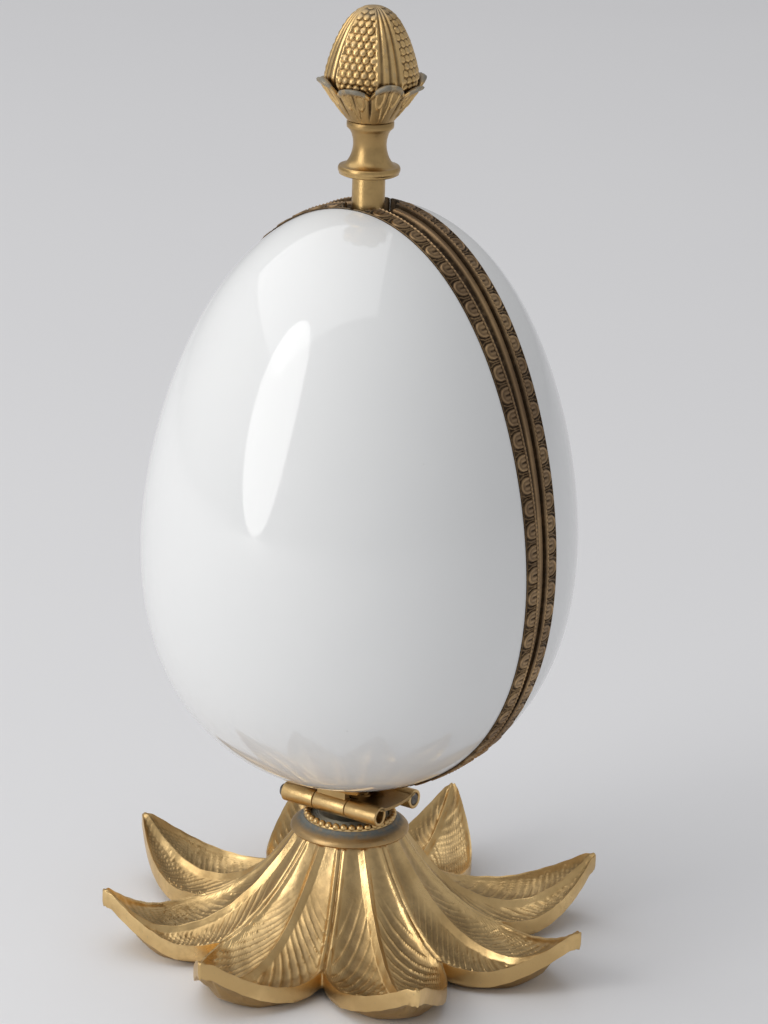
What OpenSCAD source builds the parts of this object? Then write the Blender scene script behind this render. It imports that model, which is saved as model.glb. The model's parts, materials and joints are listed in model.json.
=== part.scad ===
// Egg-shaped trinket box. Two porcelain half shells with gilt rims swing on a pair of hinges
// above a cast leaf foot, and close round an upright stem that carries a flower-bud finial.

/* [Egg] */
// Height of the egg's centre above the table
egg_z = 122; // [121:0.5:124]
// Largest radius of the egg
egg_r = 55.5; // [52:0.5:56]
// Half of the egg's height
egg_half_h = 76.8; // [76:0.1:77]
// How much fuller the lower end is than the upper end
egg_taper = 0.16; // [0:0.01:0.2]
// How blunt both ends are
egg_blunt = 0.08; // [0:0.01:0.1]
// Wall of the porcelain
shell_t = 3; // [2.5:0.1:3.5]

/* [Rims] */
// Width of each ornamented band
band_w = 5.4; // [5.2:0.1:6.5]
// How far the band stands proud of the porcelain
band_rise = 0.7; // [0.5:0.1:0.9]
// Depth at which the porcelain edge is seated in its rim
seat_y = 4.9; // [4.7:0.1:5]
// Width of the inner flange behind the porcelain
inner_flange_w = 8; // [7:0.5:9]
// How far the closing lip reaches into the front rim
lip_reach = 3.6; // [2.5:0.1:3.8]
// Height at which the closing lip starts on each side
lip_foot_z = 80; // [80:1:90]
// How far the front half stands ajar, in degrees
front_ajar = 0.6; // [0.3:0.1:1]
// How far the rear half stands ajar, in degrees
rear_ajar = 1.6; // [0.5:0.1:1.8]

/* [Hinges] */
// Distance from the seam plane to each hinge axis
hinge_y = 8; // [7.5:0.1:9]
// Height of the hinge axes
hinge_z = 40; // [39.5:0.1:40.2]
// Outer radius of the hinge tubes
knuckle_r = 2.6; // [2.4:0.1:2.7]
// Radius of the hinge pins
pin_r = 1.65; // [1.4:0.05:1.7]
// Length of a whole hinge
hinge_len = 30; // [28:0.5:32]
// How far the front pin has crept out at its left end
pin_creep = 1.2; // [0:0.1:1.5]

/* [Stem and finial] */
// Radius of the upright stem
stem_r = 4.15; // [3.9:0.05:4.3]
// Height of the stem's top, where the finial starts
stem_top = 206.4; // [206:0.2:208]
// Largest radius of the bell-shaped flange
flange_r = 7.85; // [7:0.05:8.5]
// Largest radius of the flower bud
bud_r = 11.6; // [11:0.1:12]
// Radius of the calyx over its leaf tips
calyx_r = 13.4; // [13:0.1:14]
// Height of the finial's tip
finial_top = 249; // [247:0.2:250]

/* [Foot] */
// Radius of the foot over its leaf tips
foot_r = 69; // [66:0.5:72]
// Height of the leaf tips
leaf_tip_z = 18.5; // [17:0.5:19]
// Number of leaves
leaf_count = 8; // [8]
// Turn of the leaves from the hinge direction, in degrees
leaf_turn = 4; // [0:1:10]
// Radius at which neighbouring leaves part
leaf_part_r = 37; // [35:0.5:40]
// Height of the foot's shoulder, under the collar
shoulder_z = 31.5; // [31:0.1:32]
// Radius of the collar disc
collar_r = 15.6; // [15:0.1:16]
// Number of pearls round the collar
pearl_count = 34; // [30:1:34]

/* [Dish] */
// Height of the dish's floor inside the egg
dish_z = 90; // [80:1:100]
// Radius of the dish
dish_r = 24; // [18:1:26]

/* [Hidden] */

gilt = "#c79a4b";
bronze = "#7a6240";
grey_gilt = "#8b7a63";
steel = "#8d8f92";
glaze = "#e6e9e8";

round_fn = 96;
small_fn = 32;
// Kept off the other step counts, so that no two corners fall on one line
root_fn = 90;
egg_step = 4;
far = 200;
fit_gap = 0.05;
joint_gap = 0.12;

// Egg outline: radius and height at the parameter angle u, from -90 at the bottom to 90 at the top
function egg_raw(u) = cos(u) * (1 - egg_taper * sin(u) + egg_blunt * pow(sin(u), 2)
    + 0.02 * pow(sin(u), 3));
egg_peak = max([for (u = [-90:1:90]) egg_raw(u)]);
function egg_on(u) = [egg_r * egg_raw(u) / egg_peak, egg_z + egg_half_h * sin(u)];
function egg_tangent(u) = egg_on(u + 0.5) - egg_on(u - 0.5);
function egg_point(u, grow) =
    let (t = egg_tangent(u), p = egg_on(u) + grow * [t[1], -t[0]] / norm(t))
    [abs(u) == 90 ? 0 : p[0], p[1]];

module egg_solid(grow) {
    rotate_extrude($fn = round_fn)
        polygon([for (u = [-90:egg_step:90]) egg_point(u, grow)]);
}

module egg_layer(outer, inner) {
    difference() {
        egg_solid(outer);
        egg_solid(inner);
    }
}

// Everything between two distances in front of the seam plane
module slab(near_y, far_y, low_z = 0) {
    translate([-far / 2, -far_y, low_z])
        cube([far, far_y - near_y, 2 * far]);
}

// Upright round hole on the stem's axis
module stem_hole(r) {
    cylinder(r = r, h = 2 * far, $fn = round_fn);
}

// Rear parts are mirror images of the front parts
module to_rear() {
    mirror([0, 1, 0]) children();
}

module front_half_at_rest() {
    translate([0, -hinge_y, hinge_z])
        rotate([front_ajar, 0, 0])
            translate([0, hinge_y, -hinge_z])
                children();
}

module rear_half_at_rest() {
    translate([0, hinge_y, hinge_z])
        rotate([-rear_ajar, 0, 0])
            translate([0, -hinge_y, -hinge_z])
                children();
}

// Half shells
stem_gap = 1.1;

module half_shell() {
    color(glaze)
        difference() {
            intersection() {
                egg_layer(0, -shell_t);
                slab(seat_y + fit_gap, far);
            }
            stem_hole(stem_r + stem_gap);
        }
}

module front_shell() {
    front_half_at_rest() half_shell();
}

module rear_shell() {
    rear_half_at_rest() to_rear() half_shell();
}

// Rims
seam_gap = 0.05;
rim_wall = 0.8;
lip_clear = 0.25;
rebate_depth = 2.6;
rebate_reach = lip_reach + 0.8;
rebate_foot_z = lip_foot_z - 2;

module half_rim() {
    difference() {
        intersection() {
            egg_layer(band_rise, -shell_t - rim_wall);
            slab(seam_gap, inner_flange_w);
        }
        intersection() {
            egg_layer(fit_gap, -shell_t - fit_gap);
            slab(seat_y, far);
        }
        intersection() {
            egg_layer(2 * band_rise, 0);
            slab(band_w, far);
        }
        stem_hole(stem_r + stem_gap);
    }
}

module front_rim() {
    color(bronze)
        front_half_at_rest()
            difference() {
                half_rim();
                intersection() {
                    egg_layer(0, -rebate_depth);
                    slab(-1, rebate_reach, rebate_foot_z);
                }
                rivet_holes();
            }
}

module rear_rim() {
    color(bronze)
        rear_half_at_rest()
            to_rear()
                difference() {
                    half_rim();
                    rivet_holes();
                }
}

// The lip is a rail on the rear rim's face, thick at its root and thin at its edge
lip_stem_gap = 2.3;

module closing_lip() {
    color(gilt)
        rear_half_at_rest()
            difference() {
                union() {
                    intersection() {
                        egg_layer(-lip_clear, -rebate_depth + lip_clear);
                        slab(-seam_gap, lip_reach / 2, lip_foot_z);
                    }
                    intersection() {
                        egg_layer(-4 * lip_clear, -rebate_depth + 3 * lip_clear);
                        slab(-seam_gap, lip_reach, lip_foot_z);
                    }
                }
                stem_hole(stem_r + lip_stem_gap);
            }
}

// Hinges: each has two knuckles fixed to the base and one that turns with its half shell
knuckle_len = hinge_len / 3;
bore_r = pin_r + fit_gap;

module knuckle_tube(from_x, to_x) {
    translate([from_x, -hinge_y, hinge_z])
        rotate([0, 90, 0])
            difference() {
                cylinder(r = knuckle_r, h = to_x - from_x, $fn = small_fn);
                translate([0, 0, -1])
                    cylinder(r = bore_r, h = to_x - from_x + 2, $fn = small_fn);
            }
}

module fixed_knuckles() {
    color(gilt) {
        knuckle_tube(-hinge_len / 2, -knuckle_len / 2 - joint_gap);
        knuckle_tube(knuckle_len / 2 + joint_gap, hinge_len / 2);
    }
}

module turning_knuckle() {
    color(gilt) knuckle_tube(-knuckle_len / 2, knuckle_len / 2);
}

module hinge_pin(shift) {
    translate([shift - hinge_len / 2, -hinge_y, hinge_z])
        rotate([0, 90, 0])
            cylinder(r = pin_r, h = hinge_len, $fn = small_fn);
}

module front_fixed_knuckles() {
    fixed_knuckles();
}

module rear_fixed_knuckles() {
    to_rear() fixed_knuckles();
}

module front_hinge_pin() {
    color(steel) hinge_pin(-pin_creep);
}

module rear_hinge_pin() {
    color(steel) to_rear() hinge_pin(0);
}

module front_knuckle() {
    front_half_at_rest() turning_knuckle();
}

module rear_knuckle() {
    rear_half_at_rest() to_rear() turning_knuckle();
}

// Strap: a yoke under the bottom of the rim, on a web that stands on the turning knuckle
web_w = 8.8;
web_t = 2;
yoke_w = 18;
yoke_in_y = 1.2;
yoke_out_y = 9.4;
yoke_z = hinge_z + 3;
yoke_top_z = egg_z - egg_half_h + 2;
rivet_x = 6.9;
rivet_y = 3.2;
rivet_r = 0.8;
rivet_top_z = egg_z - egg_half_h + 3;

module rivet_holes() {
    for (side = [-1, 1])
        translate([side * rivet_x, -rivet_y, yoke_z - 1])
            cylinder(r = rivet_r + fit_gap, h = rivet_top_z - yoke_z + 1.1, $fn = small_fn);
}

module half_strap() {
    color(gilt)
        difference() {
            union() {
                translate([-yoke_w / 2, -yoke_out_y, yoke_z])
                    cube([yoke_w, yoke_out_y - yoke_in_y, yoke_top_z - yoke_z]);
                translate([-web_w / 2, -hinge_y - web_t / 2, hinge_z])
                    cube([web_w, web_t, yoke_z - hinge_z + 0.5]);
            }
            egg_solid(band_rise);
            translate([-far / 2, -hinge_y, hinge_z])
                rotate([0, 90, 0])
                    cylinder(r = knuckle_r, h = far, $fn = small_fn);
            stem_hole(stem_r + stem_gap);
            rivet_holes();
        }
}

module half_rivets() {
    color(gilt)
        for (side = [-1, 1])
            translate([side * rivet_x, -rivet_y, yoke_z])
                union() {
                    cylinder(r = rivet_r, h = rivet_top_z - yoke_z, $fn = small_fn);
                    translate([0, 0, -0.5])
                        cylinder(r = 1.6 * rivet_r, h = 0.5, $fn = small_fn);
                }
}

module front_strap() {
    front_half_at_rest() half_strap();
}

module rear_strap() {
    rear_half_at_rest() to_rear() half_strap();
}

module front_rivets() {
    front_half_at_rest() half_rivets();
}

module rear_rivets() {
    rear_half_at_rest() to_rear() half_rivets();
}

// Base stack, from the hinge plate down
plate_low_z = hinge_z - 0.6;
plate_top_z = hinge_z + 1;
tie_r = 2.5;
tie_hole_r = tie_r + fit_gap;
neck_low_z = shoulder_z + 2.9;
neck_r = 10.1;
neck_top_r = 4.9;
boss_low_z = 23;
washer_t = 1.2;
nut_t = 4;

module hinge_plate() {
    color(gilt)
        difference() {
            translate([-hinge_len / 2, -hinge_y, plate_low_z])
                cube([hinge_len, 2 * hinge_y, plate_top_z - plate_low_z]);
            for (side = [-1, 1]) {
                translate([-far / 2, side * hinge_y, hinge_z])
                    rotate([0, 90, 0])
                        cylinder(r = knuckle_r, h = far, $fn = small_fn);
                translate([-knuckle_len / 2 - 0.5, side * hinge_y - knuckle_r - 0.6, plate_low_z - 1])
                    cube([knuckle_len + 1, 2 * knuckle_r + 1.2, plate_top_z]);
            }
            stem_hole(tie_hole_r);
        }
}

module neck() {
    color(grey_gilt)
        rotate_extrude($fn = round_fn)
            difference() {
                translate([tie_hole_r, neck_low_z])
                    square([neck_r - tie_hole_r, plate_low_z - neck_low_z]);
                translate([neck_r + 0.3, neck_low_z + 3.8])
                    scale([(neck_r + 0.3 - neck_top_r) / 3, 1])
                        circle(r = 3, $fn = 2 * small_fn);
                translate([neck_top_r, neck_low_z + 3.8])
                    square([neck_r, plate_low_z]);
            }
}

module foot_collar() {
    color(grey_gilt)
        rotate_extrude($fn = round_fn) {
            translate([tie_hole_r, shoulder_z])
                square([collar_r - 1.2 - tie_hole_r, 2.2]);
            translate([collar_r - 1.3, shoulder_z + 1.3])
                circle(r = 1.3, $fn = small_fn);
            translate([tie_hole_r, shoulder_z + 2.2])
                square([12.3 - tie_hole_r, 0.7]);
        }
}

pearl_r = 1;
pearl_ring_r = 11.3;

module pearl_ring() {
    color(gilt) {
        rotate_extrude($fn = round_fn)
            translate([pearl_ring_r - 0.7, neck_low_z])
                square([1.4, 0.6]);
        for (k = [1:pearl_count])
            rotate([0, 0, k * 360 / pearl_count])
                translate([pearl_ring_r, 0, neck_low_z + 0.7])
                    sphere(r = pearl_r - 0.32, $fn = small_fn);
    }
}

// Leaf foot: a dished casting cut to the outline of its leaves
leaf_low_r = 48;
leaf_low_z = 5;
heel_in_r = 45;
heel_out_r = 52;
foot_top_r = 13.5;
leaf_steps = 10;
leaf_half_w = leaf_part_r * tan(180 / leaf_count);
rib_w = 2;
rib_h = 1.6;
foot_span = foot_r - foot_top_r;
// How far each leaf of the casting stands off its even place, in degrees
leaf_swing = [0.7, 1.6, 6, -3.5, -4.3, -1.2, -1.5, 0.8];

function leaf_top(r) = r < leaf_low_r
    ? leaf_low_z + (shoulder_z - leaf_low_z)
        * pow(1 - (r - foot_top_r) / (leaf_low_r - foot_top_r), 2.2)
    : leaf_low_z + (leaf_tip_z - leaf_low_z)
        * pow((r - leaf_low_r) / (foot_r - leaf_low_r), 1.8);
function leaf_under(r) = r < heel_in_r
    ? (shoulder_z - 5) * pow(1 - (r - foot_top_r) / (heel_in_r - foot_top_r), 1.6)
    : r > heel_out_r
        ? (leaf_tip_z - 3) * pow((r - heel_out_r) / (foot_r - heel_out_r), 1.5)
        : 0;
function leaf_edge(t) = [leaf_part_r + t * (foot_r - leaf_part_r), leaf_half_w * (1 - t * t) + 1.2 * t];

module foot_section() {
    rotate_extrude($fn = round_fn)
        polygon([
            [tie_hole_r, shoulder_z],
            for (t = [0:0.05:1]) let (r = foot_top_r + t * foot_span) [r, leaf_top(r)],
            for (t = [1:-0.1:0])
                let (r = heel_out_r + t * (foot_r - heel_out_r)) [r, leaf_under(r)],
            for (t = [1:-0.1:0])
                let (r = foot_top_r + t * (heel_in_r - foot_top_r)) [r, leaf_under(r)],
            [9, boss_low_z],
            [tie_hole_r, boss_low_z]
        ]);
}

module leaf_outline() {
    polygon([
        [0, 0],
        for (k = [0:leaf_steps]) leaf_edge(k / leaf_steps),
        for (k = [leaf_steps:-1:0]) let (p = leaf_edge(k / leaf_steps)) [p[0], -p[1]]
    ]);
}

module leaf_rib_section() {
    rotate_extrude($fn = round_fn)
        polygon([
            for (t = [0.04:0.06:1]) let (r = foot_top_r + t * foot_span) [r, leaf_top(r) + rib_h],
            for (t = [1:-0.06:0.04]) let (r = foot_top_r + t * foot_span) [r, leaf_top(r) - 1]
        ]);
}

module each_leaf() {
    for (k = [0:leaf_count - 1])
        rotate([0, 0, leaf_turn + k * 360 / leaf_count + leaf_swing[k % len(leaf_swing)]])
            children();
}

module leaf_foot() {
    color(gilt) {
        intersection() {
            foot_section();
            linear_extrude(shoulder_z + 1)
                union() {
                    circle(r = leaf_part_r, $fn = root_fn);
                    each_leaf() leaf_outline();
                }
        }
        intersection() {
            leaf_rib_section();
            linear_extrude(2 * shoulder_z)
                each_leaf()
                    translate([foot_top_r, -rib_w / 2])
                        square([foot_span - 1, rib_w]);
        }
    }
}

module stem() {
    color(gilt)
        difference() {
            union() {
                translate([0, 0, plate_top_z])
                    cylinder(r = stem_r, h = stem_top - plate_top_z, $fn = round_fn);
                translate([0, 0, boss_low_z - washer_t - nut_t - 1])
                    cylinder(r = tie_r, h = plate_top_z - boss_low_z + washer_t + nut_t + 1,
                        $fn = round_fn);
            }
            translate([0, 0, stem_top - stud_depth - 1])
                cylinder(r = stud_r + fit_gap, h = stud_depth + 2, $fn = small_fn);
        }
}

module foot_washer() {
    color(steel)
        translate([0, 0, boss_low_z - washer_t])
            difference() {
                cylinder(r = 7, h = washer_t, $fn = round_fn);
                translate([0, 0, -1])
                    cylinder(r = tie_hole_r, h = washer_t + 2, $fn = round_fn);
            }
}

module foot_nut() {
    color(steel)
        translate([0, 0, boss_low_z - washer_t - nut_t])
            difference() {
                cylinder(r = 5, h = nut_t, $fn = 6);
                translate([0, 0, -1])
                    cylinder(r = tie_hole_r, h = nut_t + 2, $fn = round_fn);
            }
}

// Finial: flange, calyx and bud on a stud
stud_r = 2;
stud_depth = 10;
calyx_z = stem_top + 13.7;
bud_low_z = calyx_z + 1.5;
bud_wide_z = stem_top + 25.3;
stud_top_z = bud_low_z + 6;
flange_wide_z = stem_top + 1.5;
waist_z = stem_top + 7.9;
waist_r = 4.2;
ring_r = 5.9;
ring_t = 2.4;

module finial_flange() {
    color(gilt)
        rotate_extrude($fn = round_fn)
            difference() {
                union() {
                    translate([0, stem_top])
                        square([flange_r - 1.2, 3]);
                    translate([flange_r - 1.5, flange_wide_z])
                        circle(r = 1.5, $fn = small_fn);
                    polygon([
                        [0, flange_wide_z],
                        for (a = [0:15:90])
                            [waist_r + (flange_r - 1 - waist_r) * (1 - sin(a)),
                                waist_z - (waist_z - flange_wide_z - 1) * cos(a)],
                        [ring_r - 0.5, calyx_z - ring_t],
                        [0, calyx_z - ring_t]
                    ]);
                    translate([0, calyx_z - ring_t])
                        square([ring_r - 0.6, ring_t]);
                    translate([ring_r - ring_t / 2, calyx_z - ring_t / 2])
                        circle(d = ring_t, $fn = small_fn);
                }
                translate([-1, 0])
                    square([stud_r + fit_gap + 1, far + far]);
            }
}

// Bud outline: radius at the height z
function bud_at(z) = z < bud_wide_z
    ? bud_r * (1 - 0.55 * pow((bud_wide_z - z) / (bud_wide_z - bud_low_z), 1.6))
    : bud_r * pow(1 - pow((z - bud_wide_z) / (finial_top - bud_wide_z), 1.2), 0.435);

module finial_bud() {
    color(gilt)
        difference() {
            rotate_extrude($fn = round_fn)
                polygon([
                    [0, bud_low_z],
                    for (t = [0:0.1:1]) let (z = bud_low_z + t * (bud_wide_z - bud_low_z)) [bud_at(z), z],
                    for (t = [0.08:0.08:0.96])
                        let (z = bud_wide_z + t * (finial_top - bud_wide_z)) [bud_at(z), z],
                    [0, finial_top]
                ]);
            translate([0, 0, bud_low_z - 1])
                cylinder(r = stud_r + fit_gap, h = stud_top_z - bud_low_z + 1.2, $fn = small_fn);
        }
}

// Calyx: a cup round the bud with rounded gaps between its leaves
calyx_leaves = 8;
calyx_turn = 10.5;
calyx_gap_r = 2;
calyx_tip_z = bud_wide_z - 1;
calyx_wall = 1.6;

module finial_calyx() {
    color(bronze)
        difference() {
            rotate_extrude($fn = round_fn)
                polygon([
                    [stud_r + fit_gap, calyx_z],
                    [ring_r - 0.6, calyx_z],
                    for (t = [0:0.1:0.9])
                        let (z = calyx_z + 0.6 + t * (calyx_tip_z - calyx_z - 0.6))
                            [bud_at(max(z, bud_low_z)) + calyx_wall * (1 - 0.4 * t), z],
                    [calyx_r, calyx_tip_z],
                    for (t = [1:-0.1:0])
                        let (z = bud_low_z + t * (calyx_tip_z - bud_low_z)) [bud_at(z) + 0.1, z],
                    [stud_r + fit_gap, bud_low_z]
                ]);
            for (k = [1:calyx_leaves])
                rotate([0, 0, calyx_turn + (k + 0.5) * 360 / calyx_leaves])
                    translate([0, 0, calyx_tip_z + 0.5])
                        rotate([0, 90, 0])
                            cylinder(r = calyx_gap_r, h = far, $fn = small_fn);
        }
}

module finial_stud() {
    color(steel)
        translate([0, 0, stem_top - stud_depth])
            cylinder(r = stud_r, h = stud_top_z - stem_top + stud_depth, $fn = small_fn);
}

// Dish on the stem, held by a collar and a screw
dish_wall = 1.2;
dish_depth = 7;
dish_hub_r = 6.4;
dish_collar_h = 6;

module dish() {
    color(gilt)
        difference() {
            union() {
                translate([0, 0, dish_z])
                    cylinder(r1 = dish_r - 2.5, r2 = dish_r, h = dish_depth, $fn = round_fn);
            }
            difference() {
                translate([0, 0, dish_z + dish_wall])
                    cylinder(r1 = dish_r - 2.5 - dish_wall, r2 = dish_r - dish_wall + 0.4,
                        h = dish_depth, $fn = round_fn);
                stem_hole(dish_hub_r);
            }
            stem_hole(stem_r + fit_gap);
        }
}

module dish_collar() {
    color(gilt)
        difference() {
            translate([0, 0, dish_z - dish_collar_h])
                cylinder(r = dish_hub_r + 1.6, h = dish_collar_h, $fn = round_fn);
            stem_hole(stem_r + fit_gap);
            translate([0, 0, dish_z - dish_collar_h / 2])
                rotate([0, 90, 0])
                    cylinder(r = 1.3 + fit_gap, h = far, $fn = small_fn);
        }
}

module dish_screw() {
    color(steel)
        translate([stem_r + fit_gap, 0, dish_z - dish_collar_h / 2])
            rotate([0, 90, 0])
                cylinder(r = 1.3, h = 5.5, $fn = small_fn);
}

leaf_foot();
foot_collar();
pearl_ring();
neck();
hinge_plate();
front_fixed_knuckles();
rear_fixed_knuckles();
front_hinge_pin();
rear_hinge_pin();
stem();
foot_washer();
foot_nut();
finial_flange();
finial_calyx();
finial_bud();
finial_stud();
dish();
dish_collar();
dish_screw();
front_shell();
front_rim();
front_knuckle();
front_strap();
front_rivets();
rear_shell();
rear_rim();
closing_lip();
rear_knuckle();
rear_strap();
rear_rivets();
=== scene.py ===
"""Egg-shaped porcelain trinket box: the looks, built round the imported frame.

Every shape is worked out in millimetres and turned into metres when its mesh is made.
"""

import json
import math

import bmesh
import bpy
import numpy as np
from mathutils import Matrix, Vector


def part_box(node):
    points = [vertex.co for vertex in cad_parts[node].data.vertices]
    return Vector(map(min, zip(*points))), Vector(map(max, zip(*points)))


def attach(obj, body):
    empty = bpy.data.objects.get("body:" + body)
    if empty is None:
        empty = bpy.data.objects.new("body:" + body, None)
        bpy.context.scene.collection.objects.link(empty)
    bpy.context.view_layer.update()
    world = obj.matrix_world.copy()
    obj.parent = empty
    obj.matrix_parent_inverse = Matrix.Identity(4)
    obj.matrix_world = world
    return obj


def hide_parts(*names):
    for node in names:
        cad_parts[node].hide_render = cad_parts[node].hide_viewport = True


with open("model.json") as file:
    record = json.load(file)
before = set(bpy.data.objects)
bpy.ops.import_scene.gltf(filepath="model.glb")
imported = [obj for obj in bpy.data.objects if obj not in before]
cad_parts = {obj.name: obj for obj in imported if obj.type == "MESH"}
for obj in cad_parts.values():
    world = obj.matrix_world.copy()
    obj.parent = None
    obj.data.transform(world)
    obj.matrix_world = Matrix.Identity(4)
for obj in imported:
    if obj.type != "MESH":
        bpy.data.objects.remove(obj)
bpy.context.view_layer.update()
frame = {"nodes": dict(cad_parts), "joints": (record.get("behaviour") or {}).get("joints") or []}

MM = 0.001


# ---------------------------------------------------------------- places from the frame

def low(node, axis):
    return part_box(node)[0][axis] / MM


def high(node, axis):
    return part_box(node)[1][axis] / MM


X, Z = 0, 2
HINGES = {joint["child"]: joint for joint in frame["joints"]}

EGG_R = 55.5
EGG_Z = 122.0
EGG_HALF_H = 76.8
EGG_TAPER = 0.16
EGG_BLUNT = 0.08
EGG_POINT = 0.02
SHELL_T = 3.0
SEAT_Y = 5.36

BAND_W = 5.4
BAND_RISE = 0.7
FLANGE_Y = 8.0
FLANGE_T = 0.75
SEAM_GAP = 0.05
LIP_REACH = 3.6
LIP_FOOT_Z = 80.0
LIP_ROOM = 0.8
REBATE_DEPTH = 2.6
STEM_R = 4.15
TIE_R = 2.5
TIE_TOP_Z = 41.0
RIM_HOLE_R = STEM_R + 1.1
LIP_HOLE_R = STEM_R + 2.3

STEM_TOP = low("finial_flange", Z)
CALYX_Z = low("finial_calyx", Z)
BUD_LOW_Z = low("finial_bud", Z)
BUD_TOP_Z = high("finial_bud", Z)
BUD_R = high("finial_bud", X)

FOOT_R = 69.0
LEAF_COUNT = 8
LEAF_TURN = math.radians(4)
LEAF_SWING = np.radians([0.7, 1.6, 6.0, -3.5, -4.3, -1.2, -1.5, 0.8])
LEAF_REACH = np.array([69.0, 69.0, 69.0, 69.0, 69.0, 65.5, 69.0, 69.0])
LEAF_LIFT = np.array([18.5, 18.3, 20.5, 18.5, 18.3, 18.5, 18.0, 15.7])
LEAF_TIP_Z = 18.5
LEAF_LOW_R = 48.0
LEAF_LOW_Z = 5.0
LEAF_PART_R = 37.0
HEEL_IN_R = 45.0
HEEL_OUT_R = 52.0
SHOULDER_Z = low("foot_collar", Z)
FOOT_TOP_R = 13.5
TIE_HOLE_R = 2.55
BOSS_Z = 23.0


# ---------------------------------------------------------------- small mesh toolbox

def smooth_step(x):
    x = np.clip(x, 0, 1)
    return x * x * (3 - 2 * x)


def ridge(x, width):
    """A soft-sided ridge one unit high"""
    return np.exp(-((x / width) ** 2))


def grid_faces(rows, columns, wrap_rows=False, wrap_columns=False):
    i = np.arange(rows if wrap_rows else rows - 1)[:, None]
    j = np.arange(columns if wrap_columns else columns - 1)[None, :]
    i2 = (i + 1) % rows
    j2 = (j + 1) % columns
    quads = [i * columns + j, i * columns + j2, i2 * columns + j2, i2 * columns + j]
    return np.stack([np.broadcast_to(q, (i.size, j.size)).ravel() for q in quads], -1).tolist()


def rounded(corners, radius, steps=5):
    """A closed outline with each corner turned into a short curve"""
    corners = [np.array(c, float) for c in corners]
    points = []
    for k, corner in enumerate(corners):
        before = corners[k - 1] - corner
        after = corners[(k + 1) % len(corners)] - corner
        a = before / np.linalg.norm(before) * min(radius, 0.45 * np.linalg.norm(before))
        b = after / np.linalg.norm(after) * min(radius, 0.45 * np.linalg.norm(after))
        for t in np.linspace(0, 1, steps):
            points.append(corner + (1 - t) ** 2 * a + t * t * b)
    return np.array(points)


def revolve(outline, steps=144):
    """A closed outline of (radius, height) turned round the Z axis"""
    outline = np.asarray(outline, float)
    turn = np.linspace(0, 2 * np.pi, steps, endpoint=False)
    r, z = outline[:, 0], outline[:, 1]
    points = np.stack([
        np.outer(np.cos(turn), r),
        np.outer(np.sin(turn), r),
        np.broadcast_to(z, (steps, len(z))),
    ], -1).reshape(-1, 3)
    return points, grid_faces(steps, len(z), True, True)


def join(*shapes):
    """Several (points, faces) as one"""
    points, faces, start = [], [], 0
    for p, f in shapes:
        points.append(np.asarray(p, float))
        faces += [tuple(v + start for v in face) for face in f]
        start += len(p)
    return np.vstack(points), faces


def ball(centre, radius, turns=14, rows=9):
    up = np.linspace(-np.pi / 2, np.pi / 2, rows)
    turn = np.linspace(0, 2 * np.pi, turns, endpoint=False)
    points = np.stack([
        np.outer(np.cos(up), np.cos(turn)),
        np.outer(np.cos(up), np.sin(turn)),
        np.outer(np.sin(up), np.ones(turns)),
    ], -1).reshape(-1, 3)
    return points * radius + np.asarray(centre), grid_faces(rows, turns, False, True)


def along_x(shape, y, z):
    """A shape made round the Z axis, laid along X at the height z"""
    points, faces = shape
    return np.stack([points[:, 2], points[:, 1] + y, -points[:, 0] + z], -1), faces


def at_rest(points, body):
    """Points of a half in its closed place, swung to where it stands ajar at rest"""
    hinge = HINGES[body]
    pivot = np.array(hinge["pos_m"]) / MM
    turn = Matrix.Rotation(math.radians(-hinge["range_deg"][0]), 3, Vector(hinge["axis"]))
    return (points - pivot) @ np.array(turn).T + pivot


def make(name, shape, material, body, stands_for=(), crease=40, shade_and_grime=None, patina=None):
    """A piece from (points, faces), riding on its body and standing for its CAD nodes"""
    points, faces = shape
    mesh = bpy.data.meshes.new(name)
    mesh.from_pydata((np.asarray(points) * MM).tolist(), [], faces)
    # The first layer is painted shade, partly grime, for the gilt materials; the second is patina
    for label, values in (("shade_and_grime", shade_and_grime), ("patina", patina)):
        if values is not None:
            layer = mesh.attributes.new(label, "FLOAT", "POINT")
            layer.data.foreach_set("value", np.clip(values, 0, 1).ravel().astype(np.float32))
    work = bmesh.new()
    work.from_mesh(mesh)
    bmesh.ops.remove_doubles(work, verts=work.verts, dist=1e-7)
    bmesh.ops.recalc_face_normals(work, faces=work.faces)
    work.to_mesh(mesh)
    work.free()
    mesh.shade_smooth()
    mesh.set_sharp_from_angle(angle=math.radians(crease))
    mesh.materials.append(material)
    obj = bpy.data.objects.new(name, mesh)
    bpy.context.scene.collection.objects.link(obj)
    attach(obj, body)
    if stands_for:
        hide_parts(*stands_for)
    return obj


# ---------------------------------------------------------------- materials

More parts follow.
